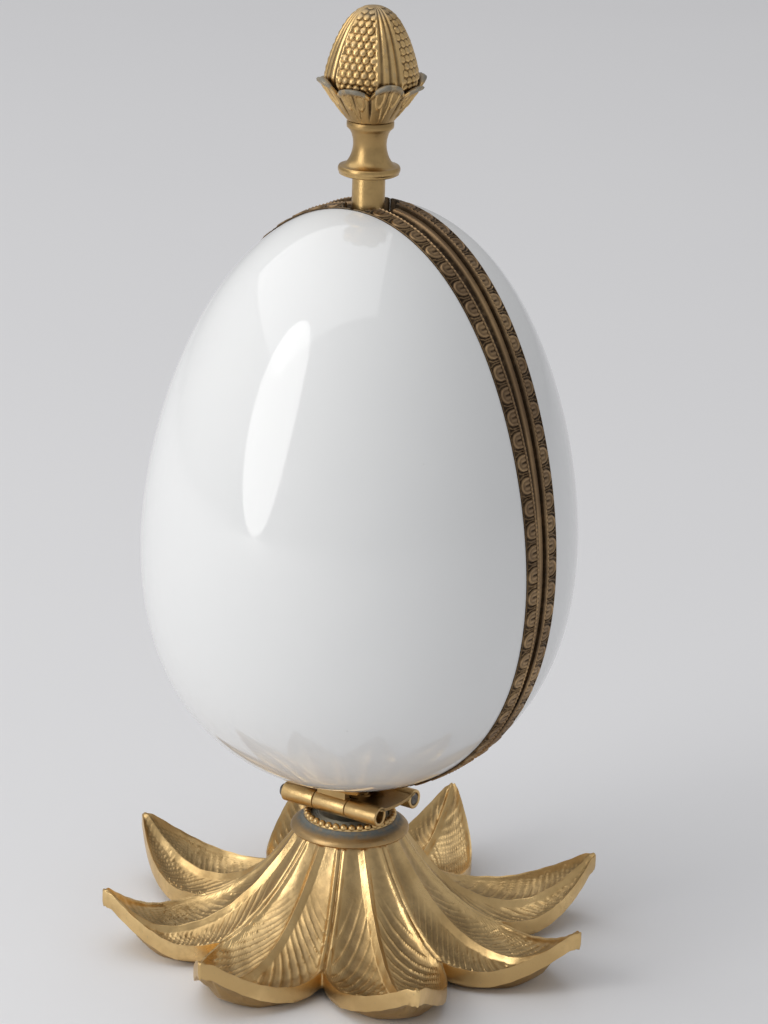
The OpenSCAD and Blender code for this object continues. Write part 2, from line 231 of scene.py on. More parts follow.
class Nodes:
    """A new material and short calls that add its nodes"""

    def __init__(self, name):
        self.material = bpy.data.materials.new(name)
        self.material.use_nodes = True
        self.tree = self.material.node_tree
        self.shader = self.tree.nodes["Principled BSDF"]
        self.place = self.add("ShaderNodeTexCoord").outputs["Object"]

    def add(self, kind, **values):
        node = self.tree.nodes.new(kind)
        for key, value in values.items():
            setattr(node, key, value)
        return node

    def link(self, source, target):
        self.tree.links.new(source, target)

    def noise(self, scale, detail=4.0, stretch=None):
        node = self.add("ShaderNodeTexNoise")
        node.inputs["Scale"].default_value = scale
        node.inputs["Detail"].default_value = detail
        place = self.place
        if stretch:
            mapping = self.add("ShaderNodeMapping")
            mapping.inputs["Scale"].default_value = stretch
            self.link(place, mapping.inputs["Vector"])
            place = mapping.outputs["Vector"]
        self.link(place, node.inputs["Vector"])
        return node.outputs["Fac"]

    def ramp(self, source, start, end, low_value=0.0, high_value=1.0):
        node = self.add("ShaderNodeMapRange", interpolation_type="SMOOTHSTEP")
        for key, value in zip(("From Min", "From Max", "To Min", "To Max"),
                              (start, end, low_value, high_value)):
            node.inputs[key].default_value = value
        self.link(source, node.inputs["Value"])
        return node.outputs["Result"]

    def maths(self, operation, a, b):
        node = self.add("ShaderNodeMath", operation=operation)
        for slot, value in enumerate((a, b)):
            if isinstance(value, (int, float)):
                node.inputs[slot].default_value = value
            else:
                self.link(value, node.inputs[slot])
        return node.outputs[0]

    def attribute(self, name):
        return self.add("ShaderNodeAttribute", attribute_name=name).outputs["Fac"]

    def mix(self, factor, a, b):
        """Colour a where factor is 0 and b where it is 1"""
        node = self.add("ShaderNodeMix", data_type="RGBA")
        self.link(factor, node.inputs[0])
        for slot, value in ((6, a), (7, b)):
            if isinstance(value, tuple):
                node.inputs[slot].default_value = (*value, 1)
            else:
                self.link(value, node.inputs[slot])
        return node.outputs[2]

    def bump(self, height, distance, strength=1.0, under=None):
        node = self.add("ShaderNodeBump")
        node.inputs["Strength"].default_value = strength
        node.inputs["Distance"].default_value = distance
        self.link(height, node.inputs["Height"])
        if under is not None:
            self.link(under, node.inputs["Normal"])
        return node.outputs["Normal"]

    def set(self, socket, value):
        if isinstance(value, (int, float)):
            self.shader.inputs[socket].default_value = value
        else:
            self.link(value, self.shader.inputs[socket])


PATINA = (0.20, 0.215, 0.205)


def gilt_material(name, bright, dull, dark, rough=(0.26, 0.42), grain=0.00002, tarnish=0.25):
    """Satin gilding over cast brass: bright where rubbed, dull in patches, dark in recesses with grime and
    painted shade
    """
    m = Nodes(name)
    patches = m.noise(55, 5)
    mottle = m.noise(620, 6)
    specks = m.noise(1500, 3)
    shade_and_grime = m.attribute("shade_and_grime")
    patina = m.attribute("patina")
    colour = m.mix(m.ramp(patches, 0.36, 0.64), bright, dull)
    colour = m.mix(m.ramp(mottle, 0.45, 0.75, 0, 0.45), colour, dull)
    # Painted shade, mixed with grime: the per-point shade attribute pulls the colour towards dark, broken up
    # by the mottle
    grime_and_shade_mask = m.maths("MULTIPLY", m.ramp(shade_and_grime, 0.18, 0.95), m.ramp(mottle, 0.2, 0.6, 0.7, 1.0))
    colour = m.mix(grime_and_shade_mask, colour, dark)
    spots = m.maths("MULTIPLY", m.ramp(specks, 0.66, 0.74), tarnish)
    aged = m.maths("MULTIPLY", patina, m.ramp(mottle, 0.3, 0.55, 0.55, 1.0))
    worn = m.maths("MAXIMUM", spots, aged)
    colour = m.mix(worn, colour, PATINA)
    m.set("Base Color", colour)
    m.set("Metallic", m.maths("SUBTRACT", 1.0, m.maths("MULTIPLY", worn, 0.75)))
    gloss = m.ramp(patches, 0.3, 0.7, rough[0], rough[1])
    gloss = m.maths("ADD", gloss, m.maths("MULTIPLY", grime_and_shade_mask, 0.18))
    m.set("Roughness", m.maths("ADD", gloss, m.maths("MULTIPLY", worn, 0.3)))
    cast = m.bump(m.noise(240, 4), grain * 10, 0.7)
    m.set("Normal", m.bump(m.noise(1900, 5), grain * 1.4, 1.0, cast))
    return m.material


def porcelain_material():
    """Glossy white glaze, faintly cool, with a slow ripple and a few fine specks"""
    m = Nodes("porcelain glaze")
    tone = m.mix(m.ramp(m.noise(16, 3), 0.3, 0.7), (0.86, 0.868, 0.865), (0.835, 0.845, 0.845))
    specks = m.add("ShaderNodeTexVoronoi", feature="F1")
    specks.inputs["Scale"].default_value = 85
    m.link(m.place, specks.inputs["Vector"])
    dots = m.maths("MULTIPLY", m.ramp(specks.outputs["Distance"], 0.035, 0.015),
                   m.ramp(m.noise(60, 2), 0.58, 0.62, 0, 0.3))
    m.set("Base Color", m.mix(dots, tone, (0.35, 0.33, 0.31)))
    m.set("Roughness", m.ramp(m.noise(120, 4), 0.3, 0.7, 0.05, 0.1))
    m.shader.inputs["IOR"].default_value = 1.55
    m.shader.inputs["Coat Weight"].default_value = 0.35
    m.shader.inputs["Coat Roughness"].default_value = 0.03
    m.set("Normal", m.bump(m.noise(38, 2), 0.00012, 0.5))
    return m.material


def steel_material():
    """Dull grey hinge pin, turned and a little oxidised"""
    m = Nodes("pin steel")
    stain = m.noise(500, 5)
    m.set("Base Color", m.mix(m.ramp(stain, 0.35, 0.7), (0.20, 0.19, 0.175), (0.10, 0.09, 0.078)))
    m.set("Metallic", 1.0)
    m.set("Roughness", m.ramp(stain, 0.3, 0.7, 0.3, 0.5))
    m.set("Normal", m.bump(m.noise(1600, 3, (0.1, 1, 1)), 0.00002))
    return m.material


def floor_material():
    m = Nodes("pale floor")
    m.set("Base Color", m.mix(m.noise(3, 3), (0.80, 0.80, 0.815), (0.83, 0.83, 0.84)))
    m.set("Roughness", 0.85)
    m.set("Normal", m.bump(m.noise(900, 2), 0.00005, 0.3))
    return m.material


GILT_FOOT = gilt_material("gilt foot", (0.88, 0.62, 0.29), (0.62, 0.42, 0.185),
                          (0.22, 0.155, 0.085), (0.25, 0.40), 0.000026, 0.25)
GILT_TRIM = gilt_material("gilt trim", (0.62, 0.42, 0.18), (0.42, 0.275, 0.115),
                          (0.12, 0.08, 0.04), (0.27, 0.41), 0.000016, 0.2)
GILT_BUD = gilt_material("gilt bud", (0.82, 0.56, 0.25), (0.56, 0.37, 0.155),
                         (0.14, 0.09, 0.045), (0.27, 0.41), 0.000014, 0.2)
BRONZE = gilt_material("bronze rim", (0.50, 0.335, 0.175), (0.31, 0.205, 0.115),
                       (0.045, 0.03, 0.018), (0.33, 0.48), 0.000012, 0.25)
GREY_GILT = gilt_material("grey gilt", (0.58, 0.385, 0.175), (0.40, 0.28, 0.145),
                          (0.16, 0.13, 0.095), (0.38, 0.54), 0.00002, 0.6)
VERDIGRIS = gilt_material("verdigris gilt", (0.46, 0.45, 0.38), (0.36, 0.385, 0.37),
                          (0.20, 0.22, 0.22), (0.45, 0.6), 0.00003, 0.85)
STEEL = steel_material()
PORCELAIN = porcelain_material()


# ---------------------------------------------------------------- the egg's surface

HALVINGS = 36

def egg_outline(grow=0.0):
    """Radius, height and outward normal down the egg's outline, offset by grow"""
    u = np.radians(np.linspace(-90, 90, 2401))
    s = np.sin(u)
    raw = np.cos(u) * (1 - EGG_TAPER * s + EGG_BLUNT * s**2 + EGG_POINT * s**3)
    r, z = EGG_R * raw / raw.max(), EGG_Z + EGG_HALF_H * s
    dr, dz = np.gradient(r), np.gradient(z)
    length = np.hypot(dr, dz)
    return r + grow * dz / length, z - grow * dr / length, dz / length, -dr / length


def egg_surface(direction, grow=0.0):
    """Points of the egg in these directions from its centre, and the normals there"""
    r_out, z_out, n_r, n_z = egg_outline(grow)
    near = np.zeros(direction.shape[:-1])
    beyond = np.full_like(near, 2 * EGG_HALF_H)
    across = np.hypot(direction[..., 0], direction[..., 1])
    for _ in range(HALVINGS):
        middle = (near + beyond) / 2
        z = EGG_Z + middle * direction[..., 2]
        inside = middle * across < np.interp(z, z_out, r_out, left=-1, right=-1)
        near = np.where(inside, middle, near)
        beyond = np.where(inside, beyond, middle)
    points = near[..., None] * direction
    r = np.maximum(np.hypot(points[..., 0], points[..., 1]), 1e-9)
    points = points + np.array([0, 0, EGG_Z])
    radial = np.interp(points[..., 2], z_out, n_r)
    upright = np.interp(points[..., 2], z_out, n_z)
    normals = np.stack([
        radial * points[..., 0] / r, radial * points[..., 1] / r, upright], -1)
    return points, normals


def egg_slice(angle, y, grow=0.0):
    """Points of the egg in the plane at y, at these angles from the horizontal"""
    r_out, z_out, n_r, n_z = egg_outline(grow)
    y = np.broadcast_to(y, angle.shape).astype(float)
    near = np.zeros(angle.shape)
    beyond = np.full(angle.shape, 2 * EGG_HALF_H)
    for _ in range(HALVINGS):
        middle = (near + beyond) / 2
        z = EGG_Z + middle * np.sin(angle)
        r_here = np.interp(z, z_out, r_out, left=-1, right=-1)
        inside = np.hypot(middle * np.cos(angle), y) < r_here
        near = np.where(inside, middle, near)
        beyond = np.where(inside, beyond, middle)
    x, z = near * np.cos(angle), EGG_Z + near * np.sin(angle)
    r = np.maximum(np.hypot(x, y), 1e-9)
    radial, upright = np.interp(z, z_out, n_r), np.interp(z, z_out, n_z)
    return np.stack([x, y, z], -1), np.stack([radial * x / r, radial * y / r, upright], -1)


def half_shell(body, mirrored):
    """Porcelain half: outer face, cut edge and inner face"""
    turn = np.linspace(0, 2 * np.pi, 288, endpoint=False)
    layers = []
    for grow, rows in ((0.0, np.linspace(0, 1, 92)), (-SHELL_T, np.linspace(1, 0, 40))):
        edge, _ = egg_slice(turn, SEAT_Y, grow)
        reach = np.hypot(edge[:, 0], edge[:, 2] - EGG_Z)
        start = np.arctan2(SEAT_Y, reach)
        lift = start + (np.pi / 2 - start) * rows[:, None]
        direction = np.stack([
            np.cos(turn) * np.cos(lift), np.sin(lift), np.sin(turn) * np.cos(lift)], -1)
        points, _ = egg_surface(direction, grow)
        layers.append(points)
    rows = sum(len(layer) for layer in layers)
    points = np.vstack(layers).reshape(-1, 3)
    faces = grid_faces(rows, len(turn), True, True)
    joint_row = len(layers[0]) - 1
    faces = [f for f in faces if f[0] // len(turn) != joint_row]
    if not mirrored:
        points = points * [1, -1, 1]
    return at_rest(points, body), faces


# ---------------------------------------------------------------- rims and closing lip

PITCH = 5.75
EGG_BASE_Y = 1.2
EGG_TURN_Y = 2.5
EGG_END_Y = 4.85
EGG_HALF_W = 2.05
BEAD_Y = 0.85
SEAM_EDGE_Y = 0.12
OUTER_EDGE_Y = 5.22
ACROSS_LINES = 28
FLANGE_CLEAR = 0.05


def egg_and_dart(s, y):
    """Relief of a rim's band, at the length s along the seam and y from it"""
    along = np.mod(s, PITCH) - PITCH / 2
    beyond = np.clip((y - EGG_TURN_Y) / (EGG_END_Y - EGG_TURN_Y), 0, None)
    shape = np.hypot(along / EGG_HALF_W, beyond)
    field = smooth_step((y - EGG_BASE_Y) / 0.25)
    bowl = 0.30 * np.sqrt(np.clip(1 - (shape / 0.98) ** 2, 0, 1))
    border = 0.40 * ridge(shape - 0.88, 0.13)
    slit = 0.24 * ridge(along, 0.26) * smooth_step((3.5 - y) / 1.0)
    flank = 0.12 * ridge(np.abs(along) - 0.62, 0.26) * smooth_step((3.9 - y) / 1.0)
    motif = np.maximum(bowl - slit + flank, 0) * (shape < 0.98) + border
    gap = PITCH / 2 - np.abs(along)
    spread = 0.27 + 0.55 * smooth_step((y - 3.3) / 1.7)
    dart = 0.42 * ridge(gap - spread, 0.17) * smooth_step((5.05 - y) / 0.3)
    relief = 0.10 + field * np.maximum(motif, dart)
    bead = 0.60 - 0.12 * np.cos(2 * np.pi * s / (PITCH / 5))
    relief = np.maximum(relief, bead * ridge(y - BEAD_Y, 0.24))
    slope = 0.16 + 0.30 * np.clip(y / BEAD_Y, 0, 1)
    relief = np.where(y < BEAD_Y, np.maximum(slope, bead * ridge(y - BEAD_Y, 0.2)), relief)
    relief = np.maximum(relief, 0.40 * ridge(y - SEAM_EDGE_Y, 0.09))
    relief = np.maximum(relief, 0.36 * ridge(y - OUTER_EDGE_Y, 0.13))
    return np.minimum(relief, BAND_RISE)


def seam_rail(y, hole_r, rows, foot_z=None):
    """Angles for one line along the seam at y, from its foot to its top, and the length there"""
    angle = np.linspace(-np.pi / 2, np.pi / 2, 2001)
    points, _ = egg_slice(angle, abs(y))
    step = np.hypot(np.diff(points[:, 0]), np.diff(points[:, 2]))
    length = np.concatenate([[0], np.cumsum(step)])
    length -= np.interp(0, angle, length)
    half_chord = math.sqrt(max(hole_r**2 - y * y, 0))
    upper = angle > 0
    top = np.interp(-half_chord, -points[upper, 0], length[upper])
    lower = ~upper
    if foot_z is None:
        foot = np.interp(half_chord, points[lower, 0], length[lower])
    else:
        foot = np.interp(foot_z, points[:, 2], length)
    s = np.linspace(foot, top, rows)
    return np.interp(s, length, angle), s


def swept(lines, side, caps=None):
    """Closed section swept along the seam, with its two ends capped by these loops of lines"""
    points = np.stack(lines, 1)
    points = points * [side, 1, 1]
    rows, columns = points.shape[:2]
    faces = grid_faces(rows, columns, False, True)
    for row in (0, rows - 1):
        faces += [tuple(row * columns + k for k in loop) for loop in caps or [range(columns)]]
    return points.reshape(-1, 3), faces


def rim_side(side, rebated, rows=800):
    """One side of a rim: ornamented band, seam face with or without its rebate, inner flange"""
    lines, shade_and_grime, patina = [], [], []

    def add(y, grow, shade):
        angle, s = seam_rail(y, RIM_HOLE_R, rows)
        if grow is None:
            points, normals = egg_slice(angle, y)
            height = egg_and_dart(s, y)
            points = points + normals * height[:, None]
            # Painted shade, partly grime: the band is darker where its relief is low and lighter on its
            # raised edges
            shade = 1.12 - 1.6 * height
        else:
            points, _ = egg_slice(angle, y, grow)
        lines.append(points)
        shade_and_grime.append(np.broadcast_to(shade, (rows,)))
        from_stem = np.hypot(points[:, 0], points[:, 1])
        patina.append(0.2 * smooth_step((8.5 - from_stem) / 4) * (points[:, 2] > EGG_Z))

    across = np.linspace(BAND_W, SEAM_GAP, ACROSS_LINES)
    for y in across:
        add(y, None, 0)
    if rebated:
        face_angle, _ = seam_rail(SEAM_GAP, RIM_HOLE_R, rows)
        # The rebate's faces carry painted shade, as they lie inside the seam's gap
        for grow in (0.0, -REBATE_DEPTH):
            add(SEAM_GAP, grow, 0.35)
            z = egg_slice(face_angle, SEAM_GAP)[0][:, 2]
            deep = smooth_step((z - LIP_FOOT_Z + 2) / 1.0)
            reach = SEAM_GAP + (LIP_REACH + LIP_ROOM - SEAM_GAP) * deep
            points, _ = egg_slice(face_angle, reach, grow)
            lines.append(points)
            shade_and_grime.append(np.full(rows, 0.6))
            patina.append(np.zeros(rows))
            if grow < 0:
                lines[-1], lines[-2] = lines[-2], lines[-1]
    # The flange and the faces under the band carry painted shade, deepest on the seat
    inner = -SHELL_T - FLANGE_CLEAR
    first = len(lines)
    for y in across[::-1]:
        add(y, inner - FLANGE_T, 0.4)
    last = len(lines) - 1
    add(FLANGE_Y, inner - FLANGE_T, 0.5)
    add(FLANGE_Y, inner, 0.5)
    add(SEAT_Y, inner, 0.8)
    add(SEAT_Y, 0.04, 0.8)
    add(BAND_W, 0.04, 0.8)
    # The caps follow the round hole. They pass over the rebate, whose lines they leave open
    caps = [(k, k + 1, last - k - 1, last - k) for k in range(last - first)]
    caps += [(last, last + 1, last + 2, last + 3), (last, last + 3, last + 4, last + 5, 0)]
    shape = swept(lines, side, caps)
    return shape, np.stack(shade_and_grime, 1).ravel(), np.stack(patina, 1).ravel()


def make_rim(body, name, node, mirrored):
    parts = [rim_side(side, not mirrored) for side in (1, -1)]
    points, faces = join(*(part[0] for part in parts))
    if not mirrored:
        points = points * [1, -1, 1]
    shade_and_grime = np.concatenate([part[1] for part in parts])
    patina = np.concatenate([part[2] for part in parts])
    return make(name, (at_rest(points, body), faces), BRONZE, body, [node],
                crease=75, shade_and_grime=shade_and_grime, patina=patina)


def closing_lip():
    """Smooth rail on the rear rim, flush beside the rear band and falling towards the front"""
    section = rounded([
        (SEAM_GAP, -0.5), (-0.25, -0.5), (-0.4, -0.3), (-1.55, -0.3), (-1.78, -0.27), (-2.0, -0.5),
        (-2.3, -1.2), (-LIP_REACH, -1.5), (-LIP_REACH, -1.85), (-1.8, -1.9), (-1.7, -2.35), (SEAM_GAP, -2.35),
    ], 0.2, 3)
    sides = []
    for side in (1, -1):
        lines = []
        for y, grow in section:
            angle, _ = seam_rail(y, LIP_HOLE_R, 220, LIP_FOOT_Z)
            points, _ = egg_slice(angle, abs(y), grow)
            points[:, 1] = y
            lines.append(points)
        sides.append(swept(lines, side))
    points, faces = join(*sides)
    # Painted light across the lip: a painted highlight along its crest, and painted shade at its root and on
    # the slope falling towards the front
    shade = np.interp(section[:, 0], [-2.3, -1.95, -1.75, -1.5, -0.45, -0.2],
                      [0.95, 0.2, 0.1, 0.4, 0.45, 0.9])
    crest = np.tile(shade, len(points) // len(section))
    return (at_rest(points, "rear_half"), faces), crest


# ---------------------------------------------------------------- leaf foot

ROUND_LEAVES = 112
LEAF_HALF = math.pi / LEAF_COUNT
LEAF_HALF_W = LEAF_PART_R * math.tan(LEAF_HALF)
TIP_HALF_W = 0.35
WALL_H = 4.5
LEAF_ROWS = 136


def leaf_top(r, tip_z):
    inner = np.clip(1 - (r - FOOT_TOP_R) / (LEAF_LOW_R - FOOT_TOP_R), 0, 1)
    outer = np.clip((r - LEAF_LOW_R) / (FOOT_R - LEAF_LOW_R), 0, None)
    return (LEAF_LOW_Z + (SHOULDER_Z - LEAF_LOW_Z) * inner**2.2
            + (tip_z - LEAF_LOW_Z) * outer**1.8)


def leaf_under(r, tip_z):
    inner = np.clip(1 - (r - FOOT_TOP_R) / (HEEL_IN_R - FOOT_TOP_R), 0, 1)
    outer = np.clip((r - HEEL_OUT_R) / (FOOT_R - HEEL_OUT_R), 0, None)
    return (SHOULDER_Z - 5) * inner**1.6 + (tip_z - 4) * outer**1.5


def half_width(x):
    """Half the width of a leaf at x along its middle"""
    t = np.clip((x - LEAF_PART_R) / (FOOT_R - LEAF_PART_R), 0, 1)
    free = LEAF_HALF_W * (1 - t**2.1) + TIP_HALF_W * t
    return np.where(x < LEAF_PART_R, x * math.tan(LEAF_HALF), free)


def outline_radius(turn):
    """Distance from the axis to the leaf's outline, at the angle turn from its middle"""
    x = np.linspace(LEAF_PART_R, FOOT_R, 400)
    w = half_width(x)
    angle = np.arctan2(w, x)
    reach = np.interp(np.abs(turn), angle[::-1], np.hypot(x, w)[::-1])
    blunt = FOOT_R / np.cos(turn)
    return np.where(np.abs(turn) < angle[-1], blunt, reach)


def leaf_relief(x, y, leaf):
    """Height of the leaf's upper face over its middle line, and its painted shade: dark in the hollows,
    between the veins and in the grooves between leaves, lighter on the rib, the vein crests and the ridges
    beside the grooves
    """
    w = np.maximum(half_width(x), 0.05)
    v = np.clip(np.abs(y) / w, 0, 1)
    out = np.clip((x - FOOT_TOP_R) / (FOOT_R - FOOT_TOP_R), 0, 1)
    belly = np.sin(np.pi * out) ** 0.8
    rib_w = 0.62 + 0.25 * (1 - out)
    rib = (1.25 - 0.3 * out) * np.maximum(1 - np.abs(y) / (1.7 * rib_w), 0) ** 0.8 * smooth_step(w / 1.6)
    hollow = (1.1 + 0.95 * belly) * np.sin(np.pi * v) ** 0.85 * smooth_step(w / 4)
    edge = (0.4 + 0.9 * belly) * v**2.5
    lean = x - 1.15 * np.abs(y) ** 0.9
    fade = smooth_step((x - 19) / 9) * smooth_step((v - 0.05) / 0.12) * smooth_step((0.94 - v) / 0.1)
    pitch = 2.45 + 0.35 * np.sin(2.3 * leaf + 0.11 * x)
    wave = np.mod(lean + 0.37 * leaf, pitch) / pitch
    crest = np.maximum(1 - np.abs(wave - 0.5) / 0.16, 0)
    veins = 0.50 * fade * (crest - 0.2)
    uneven = 0.12 * np.sin(0.9 * x + 2.1 * leaf) * np.sin(1.1 * y + leaf)
    away = np.maximum(w - np.abs(y), 0) * np.cos(LEAF_HALF)
    joined = smooth_step((LEAF_PART_R + 1.5 - x) / 3)
    groove = (1.1 * (1 - smooth_step(away / 0.5)) - 0.75 * ridge(away - 1.0, 0.42)) * joined
    lip = 0.3 * ridge(away - 0.45, 0.35) * (1 - joined) * smooth_step((w - 2) / 3)
    tip = 1.3 * smooth_step((x - FOOT_R + 2.2) / 2.2)
    height = rib - hollow + edge + veins + uneven - groove + lip - tip
    # Painted shade and painted highlight worked out from the relief
    shade = 0.06 + 0.5 * np.sin(np.pi * v) - 0.9 * veins - 0.5 * (np.abs(y) < rib_w)
    shade = shade + 0.5 * (1 - smooth_step(away / 0.7)) * joined - 0.3 * ridge(away - 1.15, 0.5) * joined
    return height, shade


def leaf_foot():
    """The whole casting: each column runs over the leaf, down its wall and back underneath"""
    columns = LEAF_COUNT * ROUND_LEAVES
    sector = (np.arange(columns) % ROUND_LEAVES + 0.5) / ROUND_LEAVES * 2 - 1
    sector = np.sign(sector) * np.abs(sector) ** 1.25
    leaf = np.arange(columns) // ROUND_LEAVES
    turn = sector * LEAF_HALF
    axis = LEAF_TURN + np.arange(LEAF_COUNT) * 2 * LEAF_HALF + LEAF_SWING
    after = (np.append(axis[1:], axis[0] + 2 * math.pi) - axis) / 2
    before = np.roll(after, 1)
    world = axis[leaf] + sector * np.where(sector > 0, after[leaf], before[leaf])
    weight = smooth_step((0.97 - np.abs(sector)) / 0.5)
    tip_z = LEAF_TIP_Z + (LEAF_LIFT[leaf] - LEAF_TIP_Z) * weight
    grown = 1 + (LEAF_REACH[leaf] / FOOT_R - 1) * weight
    reach = outline_radius(turn)
    rows, shades = [], []

    def add(r, z, shade):
        far = 1 + (grown - 1) * smooth_step((r - LEAF_PART_R) / (FOOT_R - LEAF_PART_R))
        rows.append(np.stack([r * far * np.cos(world), r * far * np.sin(world), z], -1))
        shades.append(np.broadcast_to(shade, (columns,)))

    full = np.ones(columns)
    # Painted shade on the flat top under the collar
    add(TIE_HOLE_R * full, SHOULDER_Z * full, 0.5)
    add((FOOT_TOP_R - 1.5) * full, SHOULDER_Z * full, 0.5)
    for t in np.linspace(0, 1, LEAF_ROWS):
        r = FOOT_TOP_R + t * (reach - FOOT_TOP_R)
        height, shade = leaf_relief(r * np.cos(turn), r * np.sin(turn), leaf)
        start = smooth_step((r - FOOT_TOP_R) / 1.2) * 0.75 + 0.25 * smooth_step((r - FOOT_TOP_R) / 6)
        top = leaf_top(r, tip_z) + height * start
        add(r, top, shade)
    edge_z = top
    edge_low = np.maximum(top - WALL_H, 0.0)
    # Shade values below: none on the outer wall, painted shade on the underside and the boss
    add(reach + 0.10, edge_z - 0.30, -0.3)
    for part in (0.3, 0.7):
        add(reach + 0.12, edge_z + part * (edge_low - edge_z), -0.3)
    add(reach - 0.10, edge_low + 0.12, 0.2)
    for t in np.linspace(0.985, 0, 30):
        r = FOOT_TOP_R + t * (reach - FOOT_TOP_R)
        x, y = r * np.cos(turn), r * np.sin(turn)
        rim = smooth_step((t - 0.80) / 0.185)
        hull = leaf_under(r, tip_z)
        height, _ = leaf_relief(x, y, leaf)
        ceiling = leaf_top(r, tip_z) + height - 1.8
        z = np.minimum(hull + (edge_low - hull) * rim, ceiling)
        add(r, np.maximum(z, 0), 0.45)
    add(9.0 * full, BOSS_Z * full, 0.6)
    add(TIE_HOLE_R * full, BOSS_Z * full, 0.6)
    faces = grid_faces(len(rows), columns, True, True)
    return (np.vstack(rows), faces), np.concatenate(shades)


# ---------------------------------------------------------------- finial

def bud_radius(z):
    wide_z = STEM_TOP + 25.3
    below = BUD_R * (1 - 0.55 * np.clip((wide_z - z) / (wide_z - BUD_LOW_Z), 0, 1) ** 1.6)
    rise = np.clip((z - wide_z) / (BUD_TOP_Z - wide_z), 0, 1)
    return np.where(z < wide_z, below, BUD_R * (1 - rise**1.2) ** 0.435)


LOBE = math.radians(45)
LOBE_TURN = math.radians(-79.5)
CALYX_TOP_Z = CALYX_Z + 10.6
PANEL = math.radians(90)
GRAIN_HALF = math.radians(28)
GRAIN_TURN = math.radians(-76)
GRAIN_ROW = 1.85
GRAIN_STEP = 2.0


def bud_relief(turn, s, r):
    """Grains on four panels and long ribs between them, with painted shade that is dark between the grains
    and in the troughs of the ribs
    """
    local = np.mod(turn - GRAIN_TURN + PANEL / 2, PANEL) - PANEL / 2
    row = np.floor(s / GRAIN_ROW)
    up = s - (row + 0.5) * GRAIN_ROW
    across = local * np.maximum(r, 0.3) + np.mod(row, 2) * GRAIN_STEP / 2
    over = np.mod(across, GRAIN_STEP) - GRAIN_STEP / 2
    grain = np.sqrt(np.clip(1 - (np.hypot(up, over) / 0.93) ** 2, 0, 1))
    inside = smooth_step((GRAIN_HALF - np.abs(local)) / 0.07)
    rib_place = (np.abs(local) - GRAIN_HALF) / (PANEL / 2 - GRAIN_HALF)
    ribs = 0.5 + 0.5 * np.cos(2 * np.pi * 1.5 * np.clip(rib_place, 0, 1))
    border = ridge((np.abs(local) - GRAIN_HALF) * np.maximum(r, 0.5), 0.45)
    relief = inside * 0.62 * grain + (1 - inside) * 0.36 * ribs + 0.25 * border - 0.35
    return relief, 1 - np.maximum(inside * grain, (1 - inside) * ribs)


def finial_bud():
    turns, rows = 400, 168
    turn = np.linspace(0, 2 * np.pi, turns, endpoint=False)
    z_fine = np.linspace(BUD_LOW_Z, BUD_TOP_Z, 1500)
    r_fine = bud_radius(z_fine)
    s_fine = np.concatenate([[0], np.cumsum(np.hypot(np.diff(z_fine), np.diff(r_fine)))])
    s = np.linspace(0, s_fine[-1], rows)
    z, r = np.interp(s, s_fine, z_fine), np.interp(s, s_fine, r_fine)
    lines, shades, patinas = [], [], []
    for k in range(rows):
        relief, shade = bud_relief(turn, s[k], r[k])
        calm = smooth_step(r[k] / 2.6) * smooth_step((z[k] - CALYX_TOP_Z + 2.0) / 1.2)
        radius = np.maximum(r[k] + relief * calm, 0.0)
        lines.append(np.stack([radius * np.cos(turn), radius * np.sin(turn),
                               np.full(turns, z[k])], -1))
        # Painted shade between the grains and ribs
        shades.append(shade * 0.75 * calm)
        tip = smooth_step((z[k] - BUD_TOP_Z + 3.0) / 1.6)
        worn = 0.35 * (shade < 0.25) * smooth_step(np.sin(9.0 * turn + 1.3 * s[k]) - 0.3)
        patinas.append(np.maximum(0.35 * tip, worn))
    points = np.vstack(lines)
    faces = grid_faces(rows, turns, False, True)
    faces.append(tuple(range(turns)))
    return (points, faces), np.concatenate(shades), np.concatenate(patinas)


